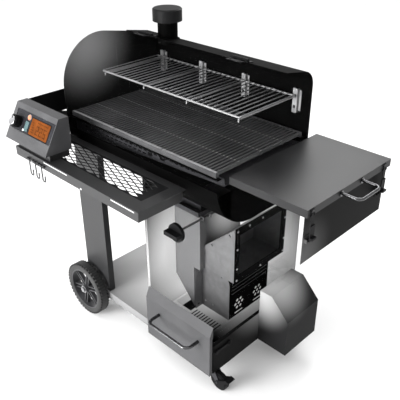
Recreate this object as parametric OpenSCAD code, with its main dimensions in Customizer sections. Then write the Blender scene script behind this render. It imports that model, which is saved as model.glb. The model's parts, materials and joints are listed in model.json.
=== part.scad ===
// Pellet smoker grill on a two-wheel cart: barrel cooking chamber, firebox with
// slide-out ash drawer, side hopper, front shelf with controller.
// Working frame: x to the right, y to the back, z up, with the origin at the
// front left top corner of the cooking grates. in_place() moves it to the floor.

/* [Cooking chamber] */
// Width of the cooking grates
grate_w = 780; // [760:1:800]
// Depth of the cooking grates
grate_d = 456; // [450:1:460]
// Number of bars in each of the three grate panels
grate_bars = 16; // [10:1:20]
// Radius of the barrel's round front
barrel_r = 188; // [186:1:190]
// Radius of the barrel's rear top corner
rear_corner_r = 62; // [50:1:70]
// Angle at which the roof falls towards the back
roof_slope = 10.4; // [9:0.1:11]
// Thickness of the sheet metal
sheet = 2; // [1.5:0.5:2.5]
// Number of wires in the warming rack
rack_wires = 30; // [16:1:34]
// Diameter of the chimney stack
chimney_d = 80; // [70:1:84]

/* [Hopper] */
// Width of the pellet hopper
hopper_w = 295; // [280:1:300]
// Depth of the pellet hopper
hopper_d = 471; // [460:1:480]
// Height of the hopper's straight sides
hopper_h = 197; // [150:1:200]

/* [Cart] */
// Height of the grates above the floor
grate_height = 940; // [938:1:942]
// Diameter of the two large wheels
wheel_d = 248; // [220:1:250]
// Diameter of the two casters
caster_d = 80; // [70:1:84]
// Width of the firebox cabinet
cabinet_w = 359; // [358:1:360]
// Number of double spokes in a large wheel
spokes = 6; // [5:1:7]

/* [Front shelf] */
// Depth from the shelf's front rail to the barrel
shelf_d = 206; // [190:1:210]
// Length of one diamond of the shelf's mesh
mesh_pitch = 60; // [50:1:70]

/* [Hidden] */
$fn = 48;
round_fn = 96;
gap = 0.5;
running = 0.05;
press = 0.2;
// How far flat sheet stays inside the arcs it meets
overlap = 0.02;

// Barrel
barrel_left = -23;
barrel_right = 796;
barrel_front = -16;
barrel_back = barrel_front + 489;
arc_y = barrel_front + barrel_r;
arc_top_z = 92;
arc_low_z = -45;
barrel_bottom = arc_low_z - barrel_r;
rear_y = barrel_back - rear_corner_r;
rear_z = arc_top_z + (barrel_r - rear_corner_r - (rear_y - arc_y) * sin(roof_slope)) / cos(roof_slope);
lid_bottom = -60;
seam_y = 312;
hinge_y = 314;
hinge_lift = 7;
hinge_z = arc_top_z + (barrel_r - (hinge_y - arc_y) * sin(roof_slope)) / cos(roof_slope) + hinge_lift;
hinge_xs = [98, 593];
hinge_r = 6;
hinge_pin_r = 3;
knuckle_w = 26;
rail_top = -18.5;

// Chimney
chimney_x = 145;
chimney_y = 390;
chimney_top = 323;
chimney_cap_r = 59;
chimney_cap_z = 310;
chimney_cap_h = 49;
damper_rod_r = 4;

// Grates and rack
panels = 3;
panel_w = grate_w / panels;
bar_w = 8;
rack_z = 129;
rack_left = 34;
rack_right = 739;
rack_front = 158;
rack_back = 462;
bracket_xs = [34, 267, 496, 739];

// Firebox
fire_l = 495;
fire_r = 629;
fire_f = 78;
fire_b = 305;
fire_top = -251;
fire_low = -577;
fire_step = -500;
fire_foot = -690;
fire_foot_x = 597;
pot_x = 562;
pot_y = 240;
auger_z = -455;
auger_r = 19;
rod_x = 634;
rod_z = -268;
rod_r = 4;
knob_y = -47;
flange_x = 780;
flange_f = 101;
flange_b = 394;
flange_bottom = -494;
flange_top = -258;
blower_l = 599;
blower_r = 741;
blower_f = 124;
blower_b = 356;
blower_top = -503;
burner_shelf_z = -706;
fan_y = 182;
fan_z = -640;
fan_r = 44;
air_y = 250;
air_z = -560;
air_r = 20;

// Hopper
hopper_l = 827;
hopper_f = 19;
hopper_r = hopper_l + hopper_w - 12;
hopper_b = hopper_f + hopper_d - 12;
hopper_lid_r = hopper_l + hopper_w;
hopper_hinge_x = hopper_l + 6;
hopper_hinge_z = -8;
latch_z = -112;
latch_ys = [36, 440];
handle_reach = 66;
handle_r = 5;

// Cart
floor_z = -grate_height;
cab_r = barrel_right;
cab_l = cab_r - cabinet_w;
cab_f = -23;
cab_b = 470;
cab_bottom = -848;
cab_cover_z = -712;
drawer_f = -45;
drawer_top = -614;
drawer_bottom = -847;
lever_y = 62;
lever_z = -743;
leg_l = 20;
leg_r = 172;
shelf_low_z = -795;
axle_r = 6;
wheel_r = wheel_d / 2;
wheel_w = 46;
wheel_x = 54;
wheel_z = floor_z + wheel_r;
front_wheel_y = -82;
rear_wheel_y = 486;
caster_r = caster_d / 2;
caster_x = 770;
caster_trail = 34;
caster_ys = [9, 440];
caster_z = floor_z + caster_r;
caster_w = 22;

// Front shelf and controller
shelf_l = -83;
shelf_r = 650;
shelf_z = -105;
rail_y = barrel_front - shelf_d;
rail_bottom = -142;
mesh_l = 30;
mesh_r = 600;
mesh_f = -166;
mesh_b = -40;
ctrl_l = -128;
ctrl_r = 150;
ctrl_f = -234;
ctrl_b = -118;
ctrl_bottom = -77;
ctrl_top = 51;
ctrl_top_y = -160;
ctrl_tilt = atan2(ctrl_top - ctrl_bottom, ctrl_top_y - ctrl_f);
dial_x = -79;
dial_y = 76;
power_x = -19;
power_y = 113;
rocker_y = 78;
hook_xs = [16, 57, 98];
tray_l = -129;

// Placement on the floor, centred on the whole object's box
center_x = (tray_l + hopper_lid_r + handle_reach + handle_r) / 2;
center_y = (ctrl_f + rear_wheel_y + wheel_w + 8) / 2;

module in_place() { translate([-center_x, -center_y, grate_height]) children(); }

// Box from its lowest corner to its highest
module block(from, to) { translate(from) cube(to - from); }

// Outlines drawn in y, z and x, z, swept along x and y
module along_x(x0, x1) { translate([x0, 0, 0]) rotate([90, 0, 90]) linear_extrude(x1 - x0) children(); }
module along_y(y0, y1) { translate([0, y1, 0]) rotate([90, 0, 0]) linear_extrude(y1 - y0) children(); }

// Round bars along each axis
module bar_x(x0, x1, y, z, r) { translate([x0, y, z]) rotate([0, 90, 0]) cylinder(h = x1 - x0, r = r); }
module bar_y(y0, y1, x, z, r) { translate([x, y0, z]) rotate([-90, 0, 0]) cylinder(h = y1 - y0, r = r); }
module bar_z(z0, z1, x, y, r) { translate([x, y, z0]) cylinder(h = z1 - z0, r = r); }

// ---- Cooking chamber -------------------------------------------------------

// Side outline of the barrel, drawn a given distance inside its outer skin
module barrel_profile(inset = 0) {
    r = barrel_r - inset;
    rc = rear_corner_r - inset;
    i = inset + overlap;
    flat = r - overlap;
    flat_c = rc - overlap;
    translate([arc_y, arc_top_z]) circle(r, $fn = round_fn);
    translate([arc_y, arc_low_z]) circle(r, $fn = round_fn);
    translate([barrel_back - barrel_r, arc_low_z]) circle(r, $fn = round_fn);
    translate([rear_y, rear_z]) circle(rc, $fn = round_fn);
    polygon([
        [barrel_front + i, arc_low_z], [barrel_front + i, arc_top_z],
        [arc_y + flat * sin(roof_slope), arc_top_z + flat * cos(roof_slope)],
        [rear_y + flat_c * sin(roof_slope), rear_z + flat_c * cos(roof_slope)],
        [barrel_back - i, rear_z], [barrel_back - i, arc_low_z],
        [barrel_back - barrel_r, barrel_bottom + i], [arc_y, barrel_bottom + i]]);
}

// Part of the side view that the lid covers
module lid_zone(grow = 0) {
    translate([barrel_front - 50, lid_bottom - grow])
        square([seam_y + grow - barrel_front + 50, 500]);
}

// Solid as wide as the barrel, to trim what meets it
module barrel_solid(grow = 0) { along_x(barrel_left - 1, barrel_right + 1) barrel_profile(-grow); }

module barrel_shell() {
    color([0.13, 0.13, 0.14]) in_place() {
        difference() {
            along_x(barrel_left, barrel_right) difference() {
                barrel_profile(0);
                barrel_profile(sheet);
                lid_zone(1.5);
            }
            bar_z(rear_z, chimney_top, chimney_x, chimney_y, chimney_d / 2 + press);
            block([fire_l + 15, fire_f + 20, barrel_bottom - 10],
                [fire_r - 15, fire_b - 15, arc_low_z - 140]);
        }
        // Rails that carry the grates
        block([barrel_left + 4, -9, rail_top - 4], [barrel_right - 4, 11, rail_top]);
        block([barrel_left + 4, grate_d - 11, rail_top - 4],
            [barrel_right - 4, barrel_back - sheet, rail_top]);
    }
}

module end_cap_outline() {
    barrel_profile(sheet + 0.6);
    difference() {
        barrel_profile(sheet);
        lid_zone(1.5);
    }
}

module left_end_cap() {
    color([0.2, 0.2, 0.21]) in_place() {
        along_x(barrel_left + 2, barrel_left + 4) end_cap_outline();
        // Stiffening strip behind the lid's seam
        block([barrel_left + 4, 252, 4], [barrel_left + 5.5, 258, 255]);
    }
}

module right_end_cap() {
    color([0.7, 0.75, 0.8, 0.25]) in_place() {
        along_x(barrel_right - 4, barrel_right - 2) end_cap_outline();
        block([barrel_right - 5.5, 252, 4], [barrel_right - 4, 258, 255]);
    }
}

module lid_skin() {
    color([0.7, 0.75, 0.8, 0.25]) in_place() {
        along_x(barrel_left, barrel_right) intersection() {
            difference() {
                barrel_profile(0);
                barrel_profile(sheet);
            }
            lid_zone(0);
        }
        // Folded hem along the lower edge
        block([barrel_left + 5, barrel_front + 1, lid_bottom],
            [barrel_right - 6, barrel_front + 9, lid_bottom + sheet]);
    }
}

module lid_handle() {
    color([0.7, 0.75, 0.8, 0.25]) in_place() {
        bar_x(190, 590, barrel_front - 46, 20, 9);
        for (x = [230, 550]) bar_y(barrel_front - 38, barrel_front, x, 20, 6);
    }
}

// Frame with its x axis on the hinge pin and y down the roof
module at_hinge() { translate([0, hinge_y, hinge_z]) rotate([-roof_slope, 0, 0]) children(); }

module hinge_leaf(x, side, w, bore) {
    difference() {
        union() {
            translate([x - w / 2, 0, 0]) rotate([0, 90, 0]) cylinder(h = w, r = hinge_r);
            block([x - w / 2, side < 0 ? -12 : 0, -hinge_lift + 0.3],
                [x + w / 2, side < 0 ? 0 : 12, -hinge_lift + 2.8]);
            block([x - w / 2, side < 0 ? -hinge_r : 2, -hinge_lift + 1],
                [x + w / 2, side < 0 ? -2 : hinge_r, 0]);
        }
        translate([x - w, 0, 0]) rotate([0, 90, 0]) cylinder(h = 2 * w, r = bore);
    }
}

module lid_hinges() {
    color([0.16, 0.16, 0.17]) in_place() at_hinge() for (x = hinge_xs) {
        for (side = [-1, 1]) hinge_leaf(x + side * knuckle_w, 1, knuckle_w - 1, hinge_pin_r - 0.2);
        block([x - 1.5 * knuckle_w, 12, -hinge_lift + 0.3], [x + 1.5 * knuckle_w, 28, -hinge_lift + 2.8]);
        bar_x(x - 1.6 * knuckle_w, x + 1.6 * knuckle_w, 0, 0, hinge_pin_r);
        for (dx = [-25, 0, 25]) translate([x + dx, 20, -hinge_lift + 2.8]) cylinder(h = 2, r = 4);
    }
}

module lid_hinge_straps() {
    color([0.16, 0.16, 0.17]) in_place() at_hinge() for (x = hinge_xs) {
        hinge_leaf(x, -1, knuckle_w - 1, hinge_pin_r + running);
        block([x - 1.3 * knuckle_w, -36, -hinge_lift + 0.3], [x + 1.3 * knuckle_w, -12, -hinge_lift + 2.8]);
        for (dx = [-22, 22]) translate([x + dx, -25, -hinge_lift + 2.8]) cylinder(h = 2, r = 4);
    }
}

module chimney_stack() {
    color([0.14, 0.14, 0.15]) in_place() {
        difference() {
            union() {
                bar_z(roof_at(chimney_y) - 22, chimney_top, chimney_x, chimney_y, chimney_d / 2);
                // Collar that sits on the sloping roof
                translate([chimney_x, chimney_y, roof_at(chimney_y)]) rotate([-roof_slope, 0, 0])
                    translate([0, 0, 0.1]) cylinder(h = 3, r = chimney_d / 2 + 8);
            }
            bar_z(roof_at(chimney_y) - 40, chimney_top + 1, chimney_x, chimney_y, chimney_d / 2 - sheet);
        }
        // Cross bar that guides the cap's rod
        difference() {
            union() {
                block([chimney_x - chimney_d / 2 + 1.5, chimney_y - 6, chimney_top - 40],
                    [chimney_x + chimney_d / 2 - 1.5, chimney_y + 6, chimney_top - 36]);
                bar_z(chimney_top - 46, chimney_top - 36, chimney_x, chimney_y, 9);
            }
            bar_z(chimney_top - 50, chimney_top - 30, chimney_x, chimney_y, damper_rod_r + running);
        }
    }
}

function roof_at(y) = arc_top_z + (barrel_r - (y - arc_y) * sin(roof_slope)) / cos(roof_slope);

module chimney_cap() {
    ceiling = chimney_cap_z + chimney_cap_h - 6;
    color([0.18, 0.18, 0.19]) in_place() {
        difference() {
            union() {
                bar_z(chimney_cap_z, chimney_cap_z + chimney_cap_h - 4, chimney_x, chimney_y, chimney_cap_r);
                translate([chimney_x, chimney_y, chimney_cap_z + chimney_cap_h - 4])
                    cylinder(h = 4, r1 = chimney_cap_r, r2 = chimney_cap_r - 5);
            }
            bar_z(chimney_cap_z - 1, ceiling, chimney_x, chimney_y, chimney_cap_r - sheet);
        }
        bar_z(chimney_top - 74, ceiling, chimney_x, chimney_y, damper_rod_r);
    }
}

module grate_panel(i) {
    pitch = panel_w / grate_bars;
    x0 = i * panel_w + gap;
    x1 = (i + 1) * panel_w - gap;
    block([x0, -2, rail_top + 0.2], [x1, 10, 0]);
    block([x0, grate_d - 10, rail_top + 0.2], [x1, grate_d, 0]);
    for (k = [0:grate_bars - 1]) {
        x = i * panel_w + (k + 0.5) * pitch;
        block([x - bar_w / 2, 9, -12], [x + bar_w / 2, grate_d - 9, 0]);
    }
    for (k = [1:3]) block([x0 + 3, k * grate_d / 4 - 5, -14], [x1 - 3, k * grate_d / 4 + 5, -3]);
}

module grate_left() { color([0.33, 0.33, 0.34]) in_place() grate_panel(0); }
module grate_middle() { color([0.33, 0.33, 0.34]) in_place() grate_panel(1); }
module grate_right() { color([0.33, 0.33, 0.34]) in_place() grate_panel(2); }

module warming_rack() {
    wire = 2;
    frame = 3.5;
    back = rack_back - 9;
    color([0.75, 0.75, 0.76]) in_place() {
        for (y = [rack_front, back]) bar_x(rack_left - 24, rack_right - 3, y, rack_z, frame);
        for (k = [0:rack_wires - 1])
            bar_y(rack_front, back, rack_left - 22 + k * (rack_right - rack_left + 17) / (rack_wires - 1),
                rack_z + 3, wire);
        // Carrying rods: their rear ends sit in the brackets' slots
        for (x = [for (b = bracket_xs) b - 6]) {
            bar_y(rack_front - 4, rack_back + 7, x, rack_z - 4.5, 3);
            bar_z(rack_z - 14, rack_z - 4.5, x, rack_front - 4, 3);
        }
    }
}

// Slotted ladder strips on the back wall
module rack_brackets() {
    wall = barrel_back - sheet - 0.1;
    color([0.6, 0.6, 0.61]) in_place() for (x = bracket_xs) difference() {
        union() {
            block([x - 15, wall - 12, 63], [x - 13, wall, 154]);
            block([x - 15, wall - 12, 63], [x + 4, wall - 10, 154]);
            block([x + 2, wall - 12, 63], [x + 4, wall, 154]);
            block([x + 4, wall - 2, 70], [x + 15, wall, 148]);
        }
        for (z = [84, rack_z - 4.5]) block([x - 11, wall - 14, z - 3.5], [x - 1, wall - 8, z + 7]);
    }
}

// Sloping tray under the grates, with rows of slots in its front flange
module drip_tray() {
    low = -100;
    high = -52;
    top = -25;
    l = barrel_left + 4;
    r = barrel_right - 4;
    slope = (high - low) / (r - l);
    color([0.24, 0.24, 0.25]) in_place() {
        difference() {
            along_y(24, 26) polygon([[l, low], [r, high], [r, top], [l, top]]);
            for (row = [0:4], k = [0:26]) {
                x = l + 60 + k * 27 + (row % 2) * 6;
                z = top - 13 - row * 13;
                if (z - 6 > low + slope * (x - l) + 3 && x + 20 < r)
                    block([x, 20, z], [x + 18, 30, z + 6]);
            }
            for (x = [420, 484]) block([x, 20, -60], [x + 26, 30, -50]);
        }
        along_y(26, grate_d - 16) polygon([[l, low], [r, high], [r, high + sheet], [l, low + sheet]]);
        along_y(grate_d - 16, grate_d - 14) polygon([[l, low], [r, high], [r, high + 20], [l, low + 20]]);
    }
}

// ---- Cart ------------------------------------------------------------------

// Upright channel between two depths, with its web at a third
module leg_channel(front, back, web, top) {
    low = shelf_low_z - 8;
    block([leg_l, web, low], [leg_r, web + sheet, top]);
    for (x = [leg_l, leg_r - sheet]) block([x, front, low], [x + sheet, back, top]);
}

module leg_channels() {
    leg_channel(-24, 4, -24, shelf_z - sheet);
    leg_channel(barrel_back - 26, barrel_back + 1, barrel_back + 0.1, -20);
}

module left_legs() {
    color([0.3, 0.3, 0.31]) in_place() difference() {
        leg_channels();
        barrel_solid(0.05);
    }
}

module bottom_shelf() {
    front = -30;
    back = barrel_back + 7;
    lip = 36;
    left = -2;
    color([0.42, 0.42, 0.43]) in_place() difference() {
        union() {
            block([left, front, shelf_low_z - sheet], [cab_l, back, shelf_low_z]);
            for (y = [front, back - sheet]) {
                block([left, y, shelf_low_z - lip], [cab_l, y + sheet, shelf_low_z]);
                block([wheel_x - 30, y, wheel_z - 22], [wheel_x + 30, y + sheet, shelf_low_z]);
            }
            for (x = [left, cab_l - sheet])
                block([x, front, shelf_low_z - lip], [x + sheet, back, shelf_low_z]);
        }
        bar_y(front - 5, back + 5, wheel_x, wheel_z, axle_r + running);
        // The legs pass through the shelf
        leg_channels();
    }
}

module wheel_axle() {
    color([0.55, 0.55, 0.56]) in_place() {
        bar_y(front_wheel_y - 8, rear_wheel_y + wheel_w + 8, wheel_x, wheel_z, axle_r);
        for (y = [front_wheel_y - 8, rear_wheel_y + wheel_w + 2])
            bar_y(y, y + 6, wheel_x, wheel_z, 11);
        // Spacer collars beside the shelf's brackets
        bar_y(front_wheel_y + wheel_w + 0.5, -30, wheel_x, wheel_z, 10);
        bar_y(barrel_back + 7, rear_wheel_y - 0.5, wheel_x, wheel_z, 10);
    }
}

// Spoked rim with its hub, standing with its axis on y
module spoked_wheel(y) {
    rim_r = wheel_r - 27;
    mid = y + wheel_w / 2;
    difference() {
        union() {
            difference() {
                bar_y(y + 3, y + wheel_w - 3, wheel_x, wheel_z, rim_r, $fn = round_fn);
                bar_y(y, y + wheel_w, wheel_x, wheel_z, rim_r - 6, $fn = round_fn);
            }
            bar_y(y, y + wheel_w, wheel_x, wheel_z, 18);
            for (k = [0:spokes - 1], side = [-1, 1])
                translate([wheel_x, mid, wheel_z]) rotate([0, k * 360 / spokes + 12, 0])
                    block([side * 8 - 2.5, -9, 10], [side * 8 + 2.5, 9, rim_r - 4]);
        }
        bar_y(y - 1, y + wheel_w + 1, wheel_x, wheel_z, axle_r + 0.08);
    }
}

module tyre(y) {
    inner = wheel_r - 27;
    w = wheel_w;
    translate([wheel_x, y, wheel_z]) rotate([-90, 0, 0]) rotate_extrude($fn = round_fn)
        polygon([[inner, 2], [inner + 14, 0], [wheel_r - 6, 3], [wheel_r, 11],
            [wheel_r, w - 11], [wheel_r - 6, w - 3], [inner + 14, w], [inner, w - 2]]);
}

module front_wheel() { color([0.25, 0.25, 0.26]) in_place() spoked_wheel(front_wheel_y); }
module front_tyre() { color([0.15, 0.15, 0.15]) in_place() tyre(front_wheel_y); }
module rear_wheel() { color([0.25, 0.25, 0.26]) in_place() spoked_wheel(rear_wheel_y); }
module rear_tyre() { color([0.15, 0.15, 0.15]) in_place() tyre(rear_wheel_y); }

// Left wall, back wall, floor and low right wall of the firebox cabinet
module cabinet_panels() {
    top = shelf_z - sheet;
    front = cab_f + 7;
    back = blower_b + 6;
    l = 499;
    r = 748;
    support_y = 320;
    color([0.55, 0.55, 0.56]) in_place() {
        difference() {
            union() {
                block([cab_l, cab_f, cab_bottom], [cab_l + sheet, cab_b, top]);
                block([cab_l, cab_b - sheet, cab_bottom], [cab_r, cab_b, arc_low_z - 25]);
                block([cab_l, cab_f, cab_bottom + 4], [cab_l + 14, cab_f + 1.5, top]);
            }
            barrel_solid(0.05);
        }
        block([cab_l, cab_f, cab_bottom], [cab_r, cab_b, cab_bottom + sheet]);
        block([cab_r - sheet, cab_f, cab_bottom], [cab_r, cab_b, cab_cover_z]);
        // Shelf that the burner stands on, slotted at the front
        difference() {
            union() {
                block([l, front, burner_shelf_z - sheet], [r, back, burner_shelf_z]);
                for (x = [l, r - sheet])
                    block([x, front, burner_shelf_z - 52], [x + sheet, back, burner_shelf_z]);
            }
            for (k = [0:9])
                block([606 + k * 14, front + 8, burner_shelf_z - 10], [613 + k * 14, 84, burner_shelf_z + 5]);
            block([l + 10, 60, burner_shelf_z - 10], [fire_foot_x - 3, fire_b, burner_shelf_z + 5]);
        }
        block([cab_l + sheet, support_y, burner_shelf_z - 30], [l, support_y + 2, burner_shelf_z - 2]);
        block([r, support_y, burner_shelf_z - 30], [cab_r - sheet, support_y + 2, burner_shelf_z - 2]);
        // Runners under the ash drawer
        for (x = [cab_l + sheet, cab_r - sheet - 10])
            block([x, 0, cab_bottom + sheet], [x + 10, 400, cab_bottom + sheet + 4]);
        // Pivot of the drawer's lever
        bar_x(cab_r, cab_r + 10, lever_y, lever_z, 4);
        bar_x(cab_r + 8.4, cab_r + 10, lever_y, lever_z, 6.5);
        // Caster plates and kingpins
        for (y = caster_ys) {
            block([caster_x - 30, y - 28, cab_bottom - 3], [caster_x + 24, y + 28, cab_bottom]);
            bar_z(cab_bottom - 9, cab_bottom - 3, caster_x, y, 6);
            bar_z(cab_bottom - 11, cab_bottom - 9, caster_x, y, 9);
        }
    }
}

// Clear covers over the cabinet's front and right
module cabinet_cover() {
    color([0.7, 0.75, 0.8, 0.25]) in_place() difference() {
        union() {
            block([cab_l, cab_f - sheet, drawer_top + 6], [cab_r, cab_f, shelf_z - sheet]);
            block([cab_r - sheet, cab_f, cab_cover_z], [cab_r, cab_b - sheet, shelf_z - sheet]);
        }
        barrel_solid(0.05);
        bar_y(cab_f - 5, cab_f + 5, rod_x, rod_z, rod_r + 2);
        block([cab_r - 5, flange_f - 21, flange_bottom - 3], [cab_r + 5, flange_b + 26, flange_top + 15]);
    }
}

module ash_drawer() {
    l = cab_l + 16;
    r = cab_r - 14;
    back = 360;
    top = -762;
    low = cab_bottom + sheet + 4.5;
    color([0.16, 0.16, 0.17]) in_place() difference() {
        block([l, drawer_f + 14, low], [r, back, top]);
        block([l + sheet, drawer_f + 16, low + sheet], [r - sheet, back - sheet, top + 1]);
    }
}

module drawer_front() {
    l = cab_l + 10;
    r = cab_r + 2;
    band = 40;
    lean = 18;
    color([0.5, 0.5, 0.51]) in_place() {
        along_x(l, r) polygon([[drawer_f, drawer_bottom], [drawer_f, drawer_top - band],
            [drawer_f + lean, drawer_top], [drawer_f + lean + 2, drawer_top - 2],
            [drawer_f + sheet + 1, drawer_top - band - 1], [drawer_f + sheet + 1, drawer_bottom]]);
        for (x = [l, r - sheet]) along_x(x, x + sheet) polygon([[drawer_f + sheet, drawer_bottom],
            [drawer_f + sheet, drawer_top - band], [drawer_f + lean, drawer_top - 2],
            [drawer_f + lean, drawer_top - band], [drawer_f + 14, drawer_top - band - 20],
            [drawer_f + 14, drawer_bottom]]);
        block([l + sheet, drawer_f + 3, drawer_bottom], [r - sheet, drawer_f + 14, drawer_bottom + sheet]);
    }
}

// Bail handle with rounded corners, opening towards its mounting face at y
module bail_y(x0, x1, y, z, reach, r, bend) {
    for (x = [x0, x1]) bar_y(y - reach + bend, y, x, z, r);
    bar_x(x0 + bend, x1 - bend, y - reach, z, r);
    for (corner = [[x0 + bend, 180], [x1 - bend, 270]])
        translate([corner[0], y - reach + bend, z]) rotate([0, 0, corner[1]])
            rotate_extrude(angle = 90, $fn = round_fn) translate([bend, 0]) circle(r);
}

module drawer_handle() {
    color([0.6, 0.6, 0.61]) in_place() bail_y(522, 738, drawer_f, -707, 62, 6.5, 24);
}

// Lever on the cabinet's low right wall
module drawer_latch() {
    y = lever_y;
    z = lever_z;
    color([0.1, 0.1, 0.1]) in_place() {
        difference() {
            union() {
                bar_x(cab_r + 0.4, cab_r + 8, y, z, 11);
                block([cab_r + 1, y - 74, z - 5], [cab_r + 7, y, z + 5]);
                bar_x(cab_r + 1, cab_r + 10, y - 70, z, 9);
            }
            bar_x(cab_r - 1, cab_r + 12, y, z, 4 + running);
        }
    }
}

// ---- Firebox and feed ------------------------------------------------------

module fire_outline(inset = 0) {
    polygon([[fire_l + inset, fire_top], [fire_r - inset, fire_top], [fire_r - inset, fire_step + inset],
        [fire_foot_x - inset, fire_step + inset], [fire_foot_x - inset, fire_foot],
        [fire_foot_x - 12, fire_foot + 14 + inset], [fire_l + inset, fire_low + inset]]);
}

module firebox_shell() {
    f = fire_f + sheet;
    b = fire_b - sheet;
    color([0.7, 0.7, 0.7]) in_place() {
        difference() {
            along_y(fire_f, fire_b) fire_outline();
            along_y(f, b) fire_outline(sheet);
            block([fire_l + sheet, f, fire_top - 5], [fire_r - sheet, b, fire_top + 5]);
            block([fire_foot_x - 10, f, fire_foot - 5], [fire_foot_x - sheet, b, fire_foot + 40]);
            bar_x(fire_r - 10, fire_r + 5, pot_y, auger_z, auger_r + 3.2);
            bar_x(fire_foot_x - 5, fire_foot_x + 5, air_y, air_z, air_r);
            // Slot for the flame plate's tab
            block([fire_r - 5, 130, rod_z + 2], [fire_r + 5, fire_b - 4, rod_z + 14]);
        }
        // Ears that guide the pull rod
        for (y = [fire_f + 6, fire_f + 42]) difference() {
            block([fire_r, y, rod_z - 8], [rod_x + 9, y + 3, rod_z + 8]);
            bar_y(y - 1, y + 4, rod_x, rod_z, rod_r + running);
        }
    }
}

// Frame and duct between the firebox and the barrel
module firebox_rim() {
    l = fire_l + 15;
    r = fire_r - 15;
    f = fire_f + 20;
    b = fire_b - 15;
    color([0.4, 0.4, 0.41]) in_place() {
        difference() {
            union() {
                block([fire_l - 10, fire_f - 18, fire_top], [fire_r + 11, fire_b + 18, fire_top + 3]);
                block([fire_l - 10, fire_f - 18, fire_top], [fire_r + 11, fire_f - 16, barrel_bottom]);
                block([fire_l - 10, fire_b + 16, fire_top], [fire_r + 11, fire_b + 18, barrel_bottom]);
                for (x = [fire_l - 10, fire_r + 9])
                    block([x, fire_f - 18, fire_top], [x + 2, fire_b + 18, barrel_bottom]);
                block([l - sheet, f - sheet, fire_top], [r + sheet, b + sheet, barrel_bottom + 50]);
            }
            block([l, f, fire_top - 5], [r, b, barrel_bottom + 60]);
            barrel_solid(0.05);
        }
    }
}

// Plate that opens or closes the way from the fire to the grates
module sear_plate() {
    color([0.5, 0.5, 0.51]) in_place() {
        block([fire_l + 4, 180, fire_top - 7], [fire_r - 3, 299, fire_top - 5]);
        block([fire_r - 5, 235, fire_top - 11], [rod_x + 4, 245, fire_top - 7]);
        block([rod_x - 4, 235, rod_z], [rod_x + 4, 245, fire_top - 7]);
        bar_y(knob_y, 250, rod_x, rod_z, rod_r);
    }
}

module sear_knob() {
    color([0.15, 0.15, 0.16]) in_place() difference() {
        union() {
            bar_y(knob_y - 3, knob_y + 9, rod_x, rod_z, 36, $fn = round_fn);
            block([rod_x - 33, knob_y - 28, rod_z - 8], [rod_x + 33, knob_y - 3, rod_z + 8]);
        }
        bar_y(knob_y, knob_y + 10, rod_x, rod_z, rod_r + running);
    }
}

// Cup that holds the fire, with the igniter rod under its rim
module burn_pot() {
    r = 39;
    low = auger_z - 28;
    color([0.45, 0.45, 0.46]) in_place() {
        difference() {
            bar_z(low, low + 62, pot_x, pot_y, r);
            bar_z(low + 3, low + 70, pot_x, pot_y, r - 3);
            for (a = [0:30:330]) translate([pot_x, pot_y, low + 14]) rotate([0, 0, a + 15])
                bar_x(r - 8, r + 4, 0, 0, 3);
            bar_x(pot_x + 20, pot_x + 50, pot_y, auger_z + 4, auger_r + 1);
            bar_y(pot_y - 60, pot_y, pot_x, auger_z - 8, 4);
        }
        bar_y(pot_y - 60, pot_y - 20, pot_x, auger_z - 8, 4);
        block([pot_x - 12, fire_f + sheet, low], [pot_x + 12, pot_y - 30, low + 3]);
    }
}

// Duct that leads the pellets from the hopper to the fire
module throat_outline(inset = 0) {
    polygon([[fire_r + inset, flange_bottom + inset], [flange_x, flange_bottom + inset],
        [flange_x, flange_top - 1.4 * inset], [fire_r + inset, flange_top - 138 - inset * 0.4]]);
}

module throat_box() {
    color([0.72, 0.72, 0.72]) in_place() {
        difference() {
            along_y(flange_f, flange_b - sheet) throat_outline();
            difference() {
                along_y(flange_f + sheet, flange_b - 2 * sheet) throat_outline(sheet);
                block([fire_r, 0, -900], [fire_r + sheet, 600, 0]);
            }
            bar_x(fire_r - 1, fire_r + 5, pot_y, auger_z, auger_r + 1);
        }
        // Auger tube
        difference() {
            bar_x(pot_x + 42, fire_r + sheet, pot_y, auger_z, auger_r + 3);
            bar_x(pot_x + 41, fire_r + 3, pot_y, auger_z, auger_r + 1);
        }
        // Folded upper edge with its bolts
        along_y(flange_f - 1.5, flange_f) polygon([
            [fire_r + 4, flange_top - 152], [flange_x - 4, flange_top - 22],
            [flange_x - 4, flange_top - 6], [fire_r + 4, flange_top - 136]]);
        for (x = [668, 754])
            bar_y(flange_f - 5, flange_f - 1.5, x, flange_top - 152 + (x - fire_r) * 0.914, 5);
    }
}

module hopper_flange() {
    rows_y = [flange_f + 9, (flange_f + flange_b) / 2, flange_b - 8];
    color([0.1, 0.1, 0.1]) in_place() {
        difference() {
            block([flange_x, flange_f - 1, flange_bottom], [flange_x + 3, flange_b, flange_top]);
            block([flange_x - 5, 125, flange_bottom + 29], [flange_x + 5, 366, flange_top - 32]);
        }
        // Bolt heads
        for (y = rows_y, z = [flange_bottom + 10, flange_top - 10])
            bar_x(flange_x + 3, flange_x + 5, y, z, 5.5);
        for (y = [rows_y[0], rows_y[2]], z = [flange_bottom + 85, flange_top - 82])
            bar_x(flange_x + 3, flange_x + 5, y, z, 5.5);
    }
}

module blower_box() {
    color([0.14, 0.14, 0.15]) in_place() {
        // Fan motor and shaft
        bar_x(blower_l + sheet, blower_l + 38, fan_y, fan_z, 18);
        bar_x(blower_l + 38, blower_l + 84, fan_y, fan_z, 4);
        vented_box();
    }
}

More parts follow.
